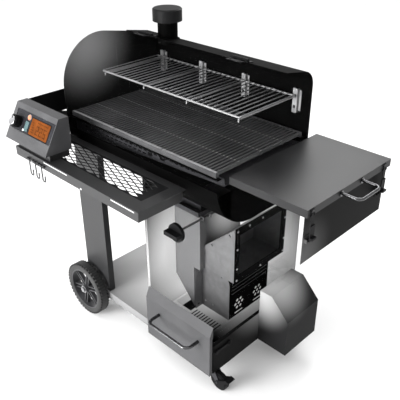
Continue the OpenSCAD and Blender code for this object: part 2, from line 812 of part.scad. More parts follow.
// Sheet-metal box with slots and round holes in its right wall and the air hole at its left
module vented_box() {
    l = blower_l + sheet;
    r = blower_r - sheet;
    f = blower_f + sheet;
    b = blower_b - sheet;
    bottom = burner_shelf_z;
    holes_z = fan_z - 12;
    slots_z = blower_top - 26;
    difference() {
        block([blower_l, blower_f, bottom], [blower_r, blower_b, blower_top]);
        block([l, f, bottom + sheet], [r, b, blower_top - sheet]);
        for (k = [0:4])
            block([r - 3, f + 12, slots_z - k * 17], [r + 7, b - 12, slots_z + 10 - k * 17]);
        for (y = [fan_y, blower_b - 62]) {
            for (a = [0:60:300]) bar_x(r - 3, r + 7, y + 20 * cos(a), holes_z + 20 * sin(a), 7);
            bar_x(r - 3, r + 7, y, holes_z, 7);
        }
        for (y = [fan_y - 24, blower_b - 86]) block([r - 3, y, bottom + 9], [r + 7, y + 48, bottom + 17]);
        bar_x(l - 3, l + 3, air_y, air_z, air_r);
    }
}

// Front plate of the blower, one corner rounded, with its keyhole bracket
module arch_plate() {
    bend = 52;
    bottom = burner_shelf_z;
    top = flange_bottom;
    y = blower_f - sheet;
    color([0.62, 0.62, 0.62]) in_place() {
        along_y(y, y + sheet - 0.1) difference() {
            union() {
                translate([fire_foot_x, bottom]) square([blower_r - fire_foot_x, top - bottom - bend]);
                translate([fire_foot_x, bottom]) square([blower_r - fire_foot_x - bend, top - bottom]);
                translate([blower_r - bend, top - bend]) circle(bend, $fn = round_fn);
            }
            // Clear of the firebox
            translate([fire_foot_x - 1, fire_step - 1]) square([fire_r - fire_foot_x + 2, 20]);
        }
        for (x = [640, 700]) bar_y(y - 3, y, x, top - 16 - (x - 640) / 5, 4.5);
        difference() {
            block([fire_foot_x, fire_f + 6, bottom], [fire_foot_x + sheet, y, fire_step - 2]);
            for (z = [fire_step - 20, bottom + 16])
                bar_x(fire_foot_x - 5, fire_foot_x + 5, fire_f + 22, z, 7);
            block([fire_foot_x - 5, fire_f + 19, fire_step - 40],
                [fire_foot_x + 5, fire_f + 25, fire_step - 20]);
        }
    }
}

module fan_impeller() {
    blades = 10;
    l = blower_l + 42;
    color([0.6, 0.6, 0.61]) in_place() difference() {
        union() {
            bar_x(l, l + 2, fan_y, fan_z, fan_r);
            bar_x(l, l + 40, fan_y, fan_z, 10);
            for (k = [0:blades - 1]) translate([l, fan_y, fan_z]) rotate([k * 360 / blades, 0, 0])
                block([1, -1, fan_r - 14], [36, 1, fan_r - 1]);
        }
        bar_x(l - 1, l + 41, fan_y, fan_z, 4 + running);
    }
}

module auger_flights() {
    turns = 4;
    length = flange_x - pot_x - 46;
    linear_extrude(length, twist = -360 * turns, slices = 16 * turns, segments = 4)
        translate([2, -2]) square([auger_r - 2, 4]);
}

module auger_screw() {
    color([0.55, 0.55, 0.56]) in_place() {
        translate([pot_x + 44, pot_y, auger_z]) rotate([0, 90, 0]) auger_flights();
        bar_x(pot_x + 44, flange_x + 100, pot_y, auger_z, 6);
    }
}

module auger_motor() {
    l = flange_x + 82;
    color([0.7, 0.75, 0.8, 0.25]) in_place() difference() {
        union() {
            block([l, pot_y - 32, flange_bottom + 3], [l + 34, pot_y + 32, auger_z + 32]);
            bar_x(l + 34, l + 88, pot_y, auger_z, 26);
            block([flange_x + 3, pot_y - 12, flange_bottom], [l + 34, pot_y + 12, flange_bottom + 3]);
        }
        bar_x(l - 5, l + 30, pot_y, auger_z, 6 + running);
    }
}

// Electronics box at the cabinet's right, with the mains inlet at its back
module side_housing() {
    l = cab_r;
    r = cab_r + 140;
    f = 243;
    b = 445;
    low = cab_bottom + 2;
    top = -597;
    color([0.5, 0.5, 0.51]) in_place() {
        difference() {
            along_y(f, b) polygon([[l, low], [r, low], [r, top - 83], [l + 58, top], [l, top]]);
            along_y(f + sheet, b - sheet) polygon([[l + sheet, low + sheet], [r - sheet, low + sheet],
                [r - sheet, top - 83], [l + 57, top - sheet], [l + sheet, top - sheet]]);
            block([l + 50, b - 5, low + 60], [l + 98, b + 5, low + 92]);
            for (k = [0:5]) block([l + 30 + k * 14, f + 30, low - 5], [l + 37 + k * 14, b - 30, low + 5]);
        }
        // Mains inlet
        difference() {
            block([l + 50, b - 24, low + 60], [l + 98, b, low + 92]);
            block([l + 58, b - 20, low + 66], [l + 90, b + 1, low + 86]);
        }
        for (x = [l + 66, l + 74, l + 82]) block([x - 1.5, b - 20, low + 73], [x + 1.5, b - 6, low + 79]);
    }
}

// ---- Hopper ----------------------------------------------------------------

module hopper_shell() {
    bottom = -hopper_h;
    color([0.2, 0.2, 0.21]) in_place() {
        block([hopper_r - sheet, hopper_f, bottom], [hopper_r, hopper_b, -4]);
        // Back wall, lower beside the lid's hinge
        for (c = [[hopper_l, -24], [hopper_hinge_x - 3, -4]])
            block([c[0], hopper_b - sheet, bottom], [hopper_r, hopper_b, c[1]]);
        // Pivot brackets of the two latches
        for (y = latch_ys) {
            block([hopper_r, y - 15, latch_z - 14], [hopper_r + 2, y + 15, latch_z + 14]);
            for (ear = [y - 13, y + 13])
                block([hopper_r, ear - 1.5, latch_z - 6], [hopper_r + 12, ear + 1.5, latch_z + 6]);
            bar_y(y - 14, y + 14, hopper_r + 8, latch_z, 2.5);
        }
    }
}

// Clear front, left side and funnel of the hopper
module hopper_body() {
    bottom = -hopper_h;
    hinge_ys = [hopper_f + 60, hopper_b - 60];
    color([0.7, 0.75, 0.8, 0.25]) in_place() {
        for (c = [[hopper_l, -24], [hopper_hinge_x - 3, -4]])
            block([c[0], hopper_f, bottom], [hopper_r - sheet, hopper_f + sheet, c[1]]);
        block([hopper_l, hopper_f + sheet, bottom], [hopper_l + sheet, hopper_b - sheet, -24]);
        difference() {
            hull() {
                block([hopper_l, hopper_f, bottom - 2], [hopper_r, hopper_b, bottom]);
                block([flange_x + 3, 116, flange_bottom + 22], [flange_x + 5, 379, flange_top - 25]);
            }
            hull() {
                block([hopper_l + sheet, hopper_f + sheet, bottom - 2],
                    [hopper_r - sheet, hopper_b - sheet, bottom + 1]);
                block([flange_x + 2, 118, flange_bottom + 24], [flange_x + 7, 377, flange_top - 27]);
            }
            bar_x(flange_x, flange_x + 50, pot_y, auger_z, 8);
        }
        // Fixed halves of the lid's hinges
        for (y = hinge_ys) {
            bar_y(y - 30, y - 10.5, hopper_hinge_x, hopper_hinge_z, 4);
            bar_y(y + 10.5, y + 30, hopper_hinge_x, hopper_hinge_z, 4);
            bar_y(y - 31, y + 31, hopper_hinge_x, hopper_hinge_z, 2);
            for (s = [-1, 1]) block([hopper_l + sheet, y + s * 20.25 - 9.75, -44],
                [hopper_l + sheet + 2.5, y + s * 20.25 + 9.75, hopper_hinge_z]);
        }
    }
}

module hopper_lid() {
    flange = 26;
    front = hopper_f - 8;
    back = hopper_b + 4;
    hinge_ys = [hopper_f + 60, hopper_b - 60];
    color([0.25, 0.25, 0.26]) in_place() {
        block([hopper_l - 2, front, -sheet], [hopper_lid_r, back, 0]);
        block([hopper_l - 2, front, -flange], [hopper_lid_r, front + sheet, -sheet]);
        block([hopper_l - 2, back - sheet, -flange], [hopper_lid_r, back, -sheet]);
        block([hopper_lid_r - sheet, front + sheet, -flange], [hopper_lid_r, back - sheet, -sheet]);
        for (y = hinge_ys) difference() {
            union() {
                bar_y(y - 10, y + 10, hopper_hinge_x, hopper_hinge_z, 4);
                block([hopper_hinge_x - 1, y - 10, hopper_hinge_z], [hopper_hinge_x + 4, y + 10, -sheet]);
            }
            bar_y(y - 11, y + 11, hopper_hinge_x, hopper_hinge_z, 2 + running);
        }
        // Keepers above the latches
        for (y = latch_ys) block([hopper_lid_r, y - 9, -12], [hopper_lid_r + 5, y + 9, -5]);
    }
}

// Bail handle that stands out to the right
module hopper_handle() {
    z = -13;
    r = handle_r;
    bend = 20;
    reach = handle_reach;
    color([0.7, 0.7, 0.71]) in_place() {
        for (y = [186, 303]) {
            bar_x(hopper_lid_r, hopper_lid_r + reach - bend, y, z, r);
            bar_x(hopper_lid_r, hopper_lid_r + 3, y, z, 10);
        }
        bar_y(186 + bend, 303 - bend, hopper_lid_r + reach, z, r);
        for (s = [0, 1]) translate([hopper_lid_r + reach - bend, s == 0 ? 186 + bend : 303 - bend, z])
            rotate([0, 0, s == 0 ? 270 : 0]) rotate_extrude(angle = 90, $fn = round_fn)
                translate([bend, 0]) circle(r);
    }
}

// Draw latch: strap hinged at its foot, with a grip lever
module latch(y) {
    x = hopper_r + 8;
    color([0.55, 0.55, 0.56]) in_place() difference() {
        union() {
            bar_y(y - 11, y + 11, x, latch_z, 5);
            block([x, y - 8, latch_z - 2], [hopper_lid_r + 4, y + 8, latch_z + 5]);
            block([hopper_lid_r + 2, y - 8, latch_z - 2], [hopper_lid_r + 4, y + 8, -16]);
            for (s = [-1, 1]) bar_x(hopper_lid_r + 2, hopper_lid_r + 5, y + s * 8, -24, 4);
            // Grip lever
            block([hopper_lid_r + 4, y - 11, latch_z + 14], [hopper_lid_r + 7, y + 11, latch_z + 54]);
            block([hopper_lid_r + 4, y - 11, latch_z + 8], [hopper_lid_r + 16, y + 11, latch_z + 15]);
        }
        bar_y(y - 12, y + 12, x, latch_z, 2.5 + running);
    }
}

module front_latch() { latch(latch_ys[0]); }
module rear_latch() { latch(latch_ys[1]); }

// ---- Shelves and controller ------------------------------------------------

module shelf_frame() {
    low = shelf_z - sheet;
    color([0.2, 0.2, 0.21]) in_place() {
        difference() {
            union() {
                block([shelf_l, rail_y, low], [shelf_r, barrel_front + 12, shelf_z]);
                block([mesh_l - 10, mesh_f - 10, low - 2], [mesh_r + 10, mesh_b + 10, low]);
                for (x = [shelf_l, shelf_r - sheet])
                    block([x, rail_y, rail_bottom], [x + sheet, cab_f - sheet - 1, low]);
            }
            block([mesh_l, mesh_f, low], [mesh_r, mesh_b, shelf_z + 5]);
            block([mesh_l + 9, mesh_f + 9, low - 5], [mesh_r - 9, mesh_b - 9, shelf_z + 5]);
            barrel_solid(2);
        }
        // Front rail with its two long slots
        difference() {
            block([shelf_l, rail_y, rail_bottom], [shelf_r, rail_y + sheet, low]);
            for (x = [[107, 260], [507, 630]]) block([x[0], rail_y - 5, -117], [x[1], rail_y + 5, -110]);
        }
        block([shelf_l, rail_y + sheet, rail_bottom], [shelf_r, rail_y + 14, rail_bottom + sheet]);
        // Pedestal under the controller
        difference() {
            block([-75, rail_y + 12, shelf_z], [140, rail_y + 97, ctrl_bottom]);
            block([-73, rail_y + 14, shelf_z - 1], [138, rail_y + 95, ctrl_bottom + 1]);
        }
        // Rod that carries the hooks
        for (x = [4, 38, 80, 116]) block([x, rail_y - 8, -131], [x + 2.5, rail_y, -123]);
        bar_x(4, 118, rail_y - 5, -127, 1.75);
    }
}

// Staggered diamond openings of the mesh
module diamonds() {
    rows = 10;
    half_x = mesh_pitch * 0.42;
    half_y = 8.8;
    step_y = (mesh_b - mesh_f - 16) / rows;
    for (row = [0:rows - 1], k = [0:floor((mesh_r - mesh_l) / mesh_pitch)]) {
        x = mesh_l + half_x + 8 + (k + (row % 2) / 2) * mesh_pitch;
        y = mesh_f + 8 + (row + 0.5) * step_y;
        if (x + half_x < mesh_r - 8)
            translate([x, y]) polygon([[-half_x, 0], [0, -half_y], [half_x, 0], [0, half_y]]);
    }
}

module shelf_mesh() {
    low = shelf_z - sheet;
    color([0.3, 0.3, 0.31]) in_place() translate([0, 0, low]) linear_extrude(1.5) difference() {
        translate([mesh_l + gap, mesh_f + gap])
            square([mesh_r - mesh_l - 2 * gap, mesh_b - mesh_f - 2 * gap]);
        diamonds();
    }
}

module side_shelf() {
    l = tray_l;
    r = barrel_left - 0.5;
    f = ctrl_b + 2;
    b = 240;
    floor_top = -38;
    rim = 47;
    color([0.17, 0.17, 0.18]) in_place() {
        difference() {
            block([l, f, floor_top - sheet], [r, b, floor_top]);
            translate([0, 0, floor_top - 5]) linear_extrude(10) polygon([[-122, 20], [-100, 40], [-122, 60]]);
        }
        block([l, f, floor_top], [l + sheet, b, rim]);
        block([l + sheet, f, floor_top], [r, f + sheet, floor_top + 40]);
        block([l + sheet, b - sheet, floor_top], [r, b, rim]);
        // Brackets down to the front shelf and the barrel's end
        block([shelf_l - sheet, f, rail_bottom + 12], [shelf_l, f + 70, floor_top - sheet]);
        block([r - sheet, 60, arc_low_z - 75], [r, b - 20, floor_top - sheet]);
        block([r - sheet, 60, arc_low_z - 75], [barrel_left + 2, b - 20, arc_low_z - 20]);
    }
}

// Side outline of the controller
module controller_outline() {
    polygon([[ctrl_f, ctrl_bottom], [ctrl_top_y, ctrl_top], [ctrl_b, ctrl_top], [ctrl_b, ctrl_bottom]]);
}

// Frame lying on the controller's sloping face, y up the face and z outwards
module on_face() { translate([0, ctrl_f, ctrl_bottom]) rotate([ctrl_tilt, 0, 0]) children(); }

module controller_housing() {
    wall = 2.5;
    face = 6;
    color([0.2, 0.2, 0.21]) in_place() difference() {
        along_x(ctrl_l, ctrl_r) controller_outline();
        along_x(ctrl_l + wall, ctrl_r - wall) intersection() {
            translate([face * sin(ctrl_tilt), -face * cos(ctrl_tilt)]) controller_outline();
            translate([-wall, 0]) controller_outline();
            translate([0, wall]) controller_outline();
            translate([0, -wall]) controller_outline();
        }
        on_face() {
            block([-107, 45, -2.5], [147, 127, 5]);
            bar_z(-20, 5, dial_x, dial_y, 4 + running);
            bar_z(-20, 5, power_x, power_y - 4, 9 + running);
            block([power_x - 13, rocker_y - 25, -20], [power_x + 10, rocker_y + 15, 5]);
        }
    }
}

module temperature_knob() {
    color([0.75, 0.75, 0.76]) in_place() on_face() {
        bar_z(-14, 0, dial_x, dial_y, 4);
        bar_z(-2, 26, dial_x, dial_y, 23, $fn = round_fn);
        translate([dial_x, dial_y, 26]) cylinder(h = 5, r1 = 23, r2 = 19, $fn = round_fn);
        translate([dial_x, dial_y, 30]) block([-1.5, 8, 0], [1.5, 18, 2]);
    }
}

module power_button() {
    color([0.8, 0.6, 0.65]) in_place() on_face() {
        bar_z(-9, 0.5, power_x, power_y - 4, 9);
        bar_z(0.5, 1, power_x, power_y - 4, 8);
    }
}

module menu_rocker() {
    color([0.55, 0.55, 0.56]) in_place() on_face() {
        block([power_x - 12.5, rocker_y - 24, -5], [power_x + 9.5, rocker_y + 14, 1]);
        // Round spine that it rocks on
        bar_x(power_x - 12.5, power_x + 9.5, rocker_y - 5, -4, 3);
        for (y = [rocker_y - 16, rocker_y + 6]) block([power_x - 8, y - 3, 1], [power_x + 5, y + 3, 2]);
    }
}

// Three J hooks that hang on one rod
module utensil_hooks() {
    wire = 2.6;
    bend = 9;
    top = -127;
    y = rail_y - 5;
    low = -184;
    color([0.55, 0.55, 0.56]) in_place() for (x = hook_xs) {
        difference() {
            union() {
                bar_x(x - 3, x + 3, y, top, 4.5);
                bar_z(low, top - 2, x, y, wire);
            }
            bar_x(x - 4, x + 4, y, top, 1.75 + running);
        }
        translate([x + bend, y, low]) rotate([90, 0, 0]) rotate_extrude(angle = -180, $fn = round_fn)
            translate([bend, 0]) circle(wire);
        bar_z(low, low + 16, x + 2 * bend, y, wire);
    }
}

// ---- Casters ---------------------------------------------------------------

module caster_fork(y) {
    top = cab_bottom - 3.5;
    axle_x = caster_x + caster_trail;
    in_place() {
        difference() {
            union() {
                bar_z(top - 3.8, top, caster_x, y, 20);
                block([caster_x - 16, y - 15, top - 3.8], [caster_x + 18, y + 15, top]);
            }
            bar_z(top - 5, top + 1, caster_x, y, 6 + running);
        }
        for (s = [-1, 1]) along_y(y + s * 13.75 - 1.25, y + s * 13.75 + 1.25) {
            polygon([[caster_x - 16, top - 3], [caster_x + 18, top - 3], [axle_x + 9, caster_z + 4],
                [axle_x - 6, caster_z - 7], [caster_x - 16, top - 16]]);
            translate([axle_x, caster_z]) circle(9);
        }
        bar_y(y - 21, y + 21, axle_x, caster_z, 4);
    }
}

module caster_tread(y) {
    axle_x = caster_x + caster_trail;
    in_place() difference() {
        union() {
            bar_y(y - caster_w / 2 + 2, y + caster_w / 2 - 2, axle_x, caster_z, caster_r, $fn = round_fn);
            bar_y(y - caster_w / 2, y + caster_w / 2, axle_x, caster_z, caster_r - 6);
        }
        bar_y(y - caster_w, y + caster_w, axle_x, caster_z, 4 + running);
    }
}

module front_caster_fork() { color([0.3, 0.3, 0.31]) caster_fork(caster_ys[0]); }
module rear_caster_fork() { color([0.3, 0.3, 0.31]) caster_fork(caster_ys[1]); }
module front_caster_wheel() { color([0.12, 0.12, 0.12]) caster_tread(caster_ys[0]); }
module rear_caster_wheel() { color([0.12, 0.12, 0.12]) caster_tread(caster_ys[1]); }

// Foot brake that turns on the front caster's axle
module caster_brake() {
    axle_x = caster_x + caster_trail;
    y = caster_ys[0];
    color([0.2, 0.2, 0.21]) in_place() {
        for (s = [-1, 1]) difference() {
            along_y(y + s * 17 - 1.25, y + s * 17 + 1.25) {
                polygon([[axle_x - 5, caster_z + 7], [axle_x + 7, caster_z - 6], [axle_x + 60, caster_z + 33],
                    [axle_x + 46, caster_z + 39]]);
                translate([axle_x, caster_z]) circle(9);
            }
            bar_y(y - 25, y + 25, axle_x, caster_z, 4 + running);
        }
        along_y(y - 18.25, y + 18.25) polygon([[axle_x + 40, caster_z + 36], [axle_x + 60, caster_z + 33],
            [axle_x + 60, caster_z + 36], [axle_x + 40, caster_z + 39]]);
    }
}

barrel_shell();
left_end_cap();
right_end_cap();
lid_skin();
lid_handle();
lid_hinges();
lid_hinge_straps();
chimney_stack();
chimney_cap();
grate_left();
grate_middle();
grate_right();
warming_rack();
rack_brackets();
drip_tray();
left_legs();
bottom_shelf();
wheel_axle();
front_wheel();
front_tyre();
rear_wheel();
rear_tyre();
cabinet_panels();
cabinet_cover();
ash_drawer();
drawer_front();
drawer_handle();
drawer_latch();
firebox_shell();
firebox_rim();
sear_plate();
sear_knob();
burn_pot();
throat_box();
hopper_flange();
blower_box();
arch_plate();
fan_impeller();
auger_screw();
auger_motor();
side_housing();
hopper_shell();
hopper_body();
hopper_lid();
hopper_handle();
front_latch();
rear_latch();
shelf_frame();
shelf_mesh();
side_shelf();
controller_housing();
temperature_knob();
power_button();
menu_rocker();
utensil_hooks();
front_caster_fork();
rear_caster_fork();
front_caster_wheel();
rear_caster_wheel();
caster_brake();
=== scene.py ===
"""Pellet smoker grill, shown cut away: looks for the CAD frame. Metres, +Z up, +X towards the hopper."""
import json
import math

import bpy
from mathutils import Matrix, Quaternion, Vector


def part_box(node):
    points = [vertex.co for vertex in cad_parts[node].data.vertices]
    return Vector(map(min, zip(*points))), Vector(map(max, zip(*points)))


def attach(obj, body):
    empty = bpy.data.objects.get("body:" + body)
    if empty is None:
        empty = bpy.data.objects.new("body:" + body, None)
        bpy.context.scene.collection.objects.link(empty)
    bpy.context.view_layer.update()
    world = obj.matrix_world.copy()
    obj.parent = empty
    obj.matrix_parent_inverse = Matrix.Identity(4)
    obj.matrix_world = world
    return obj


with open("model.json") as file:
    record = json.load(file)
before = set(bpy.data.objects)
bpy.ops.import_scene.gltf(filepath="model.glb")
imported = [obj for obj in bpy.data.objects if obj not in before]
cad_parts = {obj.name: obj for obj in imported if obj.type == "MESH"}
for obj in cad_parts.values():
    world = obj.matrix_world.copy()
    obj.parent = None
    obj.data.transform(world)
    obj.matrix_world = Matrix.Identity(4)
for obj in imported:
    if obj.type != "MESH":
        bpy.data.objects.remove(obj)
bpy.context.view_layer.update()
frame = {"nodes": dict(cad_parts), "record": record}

MM = 0.001

# Camera: where it stands, how it is turned in degrees, and its lens in millimetres
CAMERA_AT = (1.382, -1.382, 1.802)
CAMERA_AZIMUTH = 44.5
CAMERA_ELEVATION = 29.83
CAMERA_ROLL = -0.16
CAMERA_LENS = 53.47

# Most of a noise texture's values lie between these
NOISE_LOW, NOISE_HIGH = 0.3, 0.7

# The controller's sloping face: how far back it leans, and the dial's place along it and up it
FACE_RUN = 74 * MM
DIAL_AT = (49 * MM, 76 * MM)
DIAL_RIBS = 30

TREAD_GROOVES = 64
TREAD_LUGS = 44
GRATE_BARS = 16


# ---- Materials --------------------------------------------------------------

def new_material(name):
    """A node material with its Principled shader, nodes and links."""
    mat = bpy.data.materials.new(name)
    mat.use_nodes = True
    nodes = mat.node_tree.nodes
    return mat, nodes["Principled BSDF"], nodes, mat.node_tree.links


def noise(nodes, links, scale, detail=4.0, stretch=(1, 1, 1)):
    """Noise over object coordinates, in metres, stretched along the axes."""
    coords = nodes.new("ShaderNodeTexCoord")
    mapping = nodes.new("ShaderNodeMapping")
    mapping.inputs["Scale"].default_value = stretch
    tex = nodes.new("ShaderNodeTexNoise")
    tex.inputs["Scale"].default_value = scale
    tex.inputs["Detail"].default_value = detail
    links.new(coords.outputs["Object"], mapping.inputs["Vector"])
    links.new(mapping.outputs["Vector"], tex.inputs["Vector"])
    return tex.outputs["Fac"]


def ramp(nodes, links, source, low, high, start=NOISE_LOW, end=NOISE_HIGH):
    """Colours from low to high as source goes from start to end."""
    node = nodes.new("ShaderNodeValToRGB")
    node.color_ramp.elements[0].position = start
    node.color_ramp.elements[1].position = end
    node.color_ramp.elements[0].color = (*low, 1)
    node.color_ramp.elements[1].color = (*high, 1)
    links.new(source, node.inputs["Fac"])
    return node.outputs["Color"]


def bump(nodes, links, shader, height, strength, distance):
    """Relief from a height; distance is in metres."""
    node = nodes.new("ShaderNodeBump")
    node.inputs["Strength"].default_value = strength
    node.inputs["Distance"].default_value = distance
    links.new(height, node.inputs["Height"])
    links.new(node.outputs["Normal"], shader.inputs["Normal"])


def rough_range(nodes, links, shader, source, low, high):
    """Roughness from low to high as a noise source goes over its range."""
    node = nodes.new("ShaderNodeMapRange")
    node.inputs["From Min"].default_value = NOISE_LOW
    node.inputs["From Max"].default_value = NOISE_HIGH
    node.inputs["To Min"].default_value = low
    node.inputs["To Max"].default_value = high
    links.new(source, node.inputs["Value"])
    links.new(node.outputs["Result"], shader.inputs["Roughness"])


def powder_coat(name, low, high, rough=(0.34, 0.44), metallic=0.0, shine=0.12):
    """Sprayed and baked paint with its fine orange peel."""
    mat, shader, nodes, links = new_material(name)
    broad = noise(nodes, links, 5.0)
    fine = noise(nodes, links, 900.0, 2.0)
    links.new(ramp(nodes, links, broad, low, high), shader.inputs["Base Color"])
    rough_range(nodes, links, shader, broad, *rough)
    bump(nodes, links, shader, fine, 0.12, 0.0004)
    shader.inputs["Metallic"].default_value = metallic
    shader.inputs["Specular IOR Level"].default_value = shine
    return mat


def maths(nodes, links, kind, first, second=None):
    """A math node of numbers or sockets, and its output."""
    node = nodes.new("ShaderNodeMath")
    node.operation = kind
    for socket, value in zip(node.inputs, (first, second)):
        if isinstance(value, (int, float)):
            socket.default_value = value
        elif value is not None:
            links.new(value, socket)
    return node.outputs["Value"]


def spot(node, x, y, z):
    """A point in a node's box, each way from 0 at the low side to 1 at the high side."""
    low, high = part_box(node)
    return tuple(a + (b - a) * t for a, b, t in zip(low, high, (x, y, z)))


def painted_glow(name, low, high, centre, near, far, glow, inner=None):
    """Sheet metal with painted light: colour high and an emission of glow up to near metres from a centre,
    going over to colour low beyond far, a painted glow or highlight in place of light falling there. With a
    node given as inner, its outermost left and back faces stay low throughout."""
    mat, shader, nodes, links = new_material(name)
    coords = nodes.new("ShaderNodeTexCoord")
    reach = nodes.new("ShaderNodeVectorMath")
    reach.operation = "DISTANCE"
    reach.inputs[1].default_value = centre
    links.new(coords.outputs["Object"], reach.inputs[0])
    glow_falloff = nodes.new("ShaderNodeMapRange")
    glow_falloff.interpolation_type = "SMOOTHSTEP"
    glow_falloff.inputs["From Min"].default_value = near
    glow_falloff.inputs["From Max"].default_value = far
    glow_falloff.inputs["To Min"].default_value = 1.0
    glow_falloff.inputs["To Max"].default_value = 0.0
    links.new(reach.outputs["Value"], glow_falloff.inputs["Value"])
    glow_amount = glow_falloff.outputs["Result"]
    if inner:
        box_low, box_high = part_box(inner)
        parts = nodes.new("ShaderNodeSeparateXYZ")
        links.new(coords.outputs["Object"], parts.inputs["Vector"])
        right = maths(nodes, links, "GREATER_THAN", parts.outputs["X"], box_low[0] + 1 * MM)
        ahead = maths(nodes, links, "LESS_THAN", parts.outputs["Y"], box_high[1] - 1 * MM)
        inside = maths(nodes, links, "MULTIPLY", right, ahead)
        glow_amount = maths(nodes, links, "MULTIPLY", glow_amount, inside)
    fine = noise(nodes, links, 900.0, 2.0)
    # Painted light: the colour and the glow rise towards the centre
    colour = ramp(nodes, links, glow_amount, low, high, 0.0, 1.0)
    links.new(colour, shader.inputs["Base Color"])
    links.new(maths(nodes, links, "MULTIPLY", glow_amount, glow), shader.inputs["Emission Strength"])
    shader.inputs["Emission Color"].default_value = (1, 1, 1, 1)
    shader.inputs["Roughness"].default_value = 0.5
    shader.inputs["Specular IOR Level"].default_value = 0.04
    bump(nodes, links, shader, fine, 0.1, 0.0004)
    return mat


def brushed(name, low, high, rough, stretch=(1, 1, 1), metallic=1.0):
    """Bare or plated metal with a fine grain; stretch packs the grain closer along an axis."""
    mat, shader, nodes, links = new_material(name)
    grain = noise(nodes, links, 40.0, 6.0, stretch)
    links.new(ramp(nodes, links, grain, low, high), shader.inputs["Base Color"])
    rough_range(nodes, links, shader, grain, *rough)
    bump(nodes, links, shader, grain, 0.06, 0.0002)
    shader.inputs["Metallic"].default_value = metallic
    return mat


def moulded(name, low, high, rough, grain=1400.0, shine=0.3):
    """Plastic or rubber with a fine moulded texture."""
    mat, shader, nodes, links = new_material(name)
    broad = noise(nodes, links, 12.0)
    fine = noise(nodes, links, grain, 2.0)
    links.new(ramp(nodes, links, broad, low, high), shader.inputs["Base Color"])
    rough_range(nodes, links, shader, broad, *rough)
    bump(nodes, links, shader, fine, 0.2, 0.0003)
    shader.inputs["Specular IOR Level"].default_value = shine
    return mat


def tread(name, tyre):
    """Rubber with grooves across the tread, in the outer 9 mm of a tyre, coloured darker as painted shade in
    them.
    """
    mat, shader, nodes, links = new_material(name)
    low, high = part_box(tyre)
    coords = nodes.new("ShaderNodeTexCoord")
    off = nodes.new("ShaderNodeVectorMath")
    off.operation = "SUBTRACT"
    off.inputs[1].default_value = tuple((a + b) / 2 for a, b in zip(low, high))
    links.new(coords.outputs["Object"], off.inputs[0])
    parts = nodes.new("ShaderNodeSeparateXYZ")
    links.new(off.outputs["Vector"], parts.inputs["Vector"])
    angle = maths(nodes, links, "ARCTAN2", parts.outputs["X"], parts.outputs["Z"])
    wave = maths(nodes, links, "SINE", maths(nodes, links, "MULTIPLY", angle, TREAD_GROOVES))
    squares = [maths(nodes, links, "POWER", parts.outputs[axis], 2.0) for axis in "XZ"]
    distance = maths(nodes, links, "SQRT", maths(nodes, links, "ADD", *squares))
    outside = maths(nodes, links, "GREATER_THAN", distance, (high[2] - low[2]) / 2 - 9 * MM)
    crest = maths(nodes, links, "GREATER_THAN", wave, 0.35)
    groove_and_shade = maths(nodes, links, "MULTIPLY", crest, outside)
    # The grooves are coloured darker than the lugs as painted shade; the bump below gives their relief
    links.new(ramp(nodes, links, groove_and_shade, (0.014, 0.014, 0.014), (0.002, 0.002, 0.002), 0.0, 1.0),
              shader.inputs["Base Color"])
    bump(nodes, links, shader, maths(nodes, links, "SUBTRACT", 1.0, groove_and_shade), 0.5, 0.003)
    shader.inputs["Roughness"].default_value = 0.6
    return mat


def cutaway(name):
    """Sheet metal drawn nearly clear, so that the inside shows."""
    mat, shader, nodes, links = new_material(name)
    broad = noise(nodes, links, 6.0)
    links.new(ramp(nodes, links, broad, (0.02, 0.02, 0.02), (0.03, 0.03, 0.03)), shader.inputs["Base Color"])
    shader.inputs["Roughness"].default_value = 0.9
    shader.inputs["Specular IOR Level"].default_value = 0.0
    shader.inputs["Alpha"].default_value = 0.02
    mat.surface_render_method = "BLENDED"
    return mat


def glowing(name, low, high, strength, scale=60.0):
    """A lit panel, a little uneven behind its diffuser."""
    mat, shader, nodes, links = new_material(name)
    colour = ramp(nodes, links, noise(nodes, links, scale), low, high)
    links.new(colour, shader.inputs["Base Color"])
    links.new(colour, shader.inputs["Emission Color"])
    shader.inputs["Emission Strength"].default_value = strength
    shader.inputs["Roughness"].default_value = 0.3
    shader.inputs["Specular IOR Level"].default_value = 0.1
    return mat


BLACK = powder_coat("black powder coat", (0.007, 0.007, 0.0073), (0.012, 0.012, 0.0125), shine=0.05)
RAIL = powder_coat("rail coat", (0.016, 0.016, 0.0165), (0.024, 0.024, 0.025), shine=0.3)
# A darker copy of the black coat with almost no shine: painted shade for the barrel's inside and the parts
# dressed in it
SHADED_BLACK = powder_coat("painted shade black coat", (0.001, 0.001, 0.001), (0.0022, 0.0022, 0.0022), (0.5, 0.6), shine=0.01)
SHINY = powder_coat("lid coat", (0.012, 0.012, 0.0125), (0.018, 0.018, 0.019), (0.36, 0.42), shine=0.17)
DARK = powder_coat("dark powder coat", (0.02, 0.02, 0.022), (0.035, 0.035, 0.038), (0.42, 0.52))
GREY = powder_coat("grey powder coat", (0.055, 0.055, 0.057), (0.08, 0.08, 0.083), (0.4, 0.5))
# Painted glow: the cabinet panels go from black to near white, and glow, towards a point by their left side
CABINET_GLOW = painted_glow("cabinet sheet, painted glow", (0.006, 0.006, 0.006), (0.75, 0.75, 0.75),
                spot("cabinet_panels", -0.01, 0.76, 0.43), 0.2, 0.5, 0.5, "cabinet_panels")
# Painted glow: the bottom shelf lightens from grey to near white, and glows, towards the cabinet
SHELF_GLOW = painted_glow("shelf coat, painted glow", (0.12, 0.12, 0.122), (0.62, 0.62, 0.62),
                   spot("bottom_shelf", 0.76, 0.75, 4.6), 0.15, 0.52, 0.2)
# Painted highlight: the side housing is near black, lightening and glowing towards its top left
HOUSING_HIGHLIGHT = painted_glow("housing coat, painted highlight", (0.015, 0.015, 0.0155), (0.5, 0.5, 0.5),
                     spot("side_housing", -0.1, 0.3, 0.9), 0.02, 0.19, 0.12)
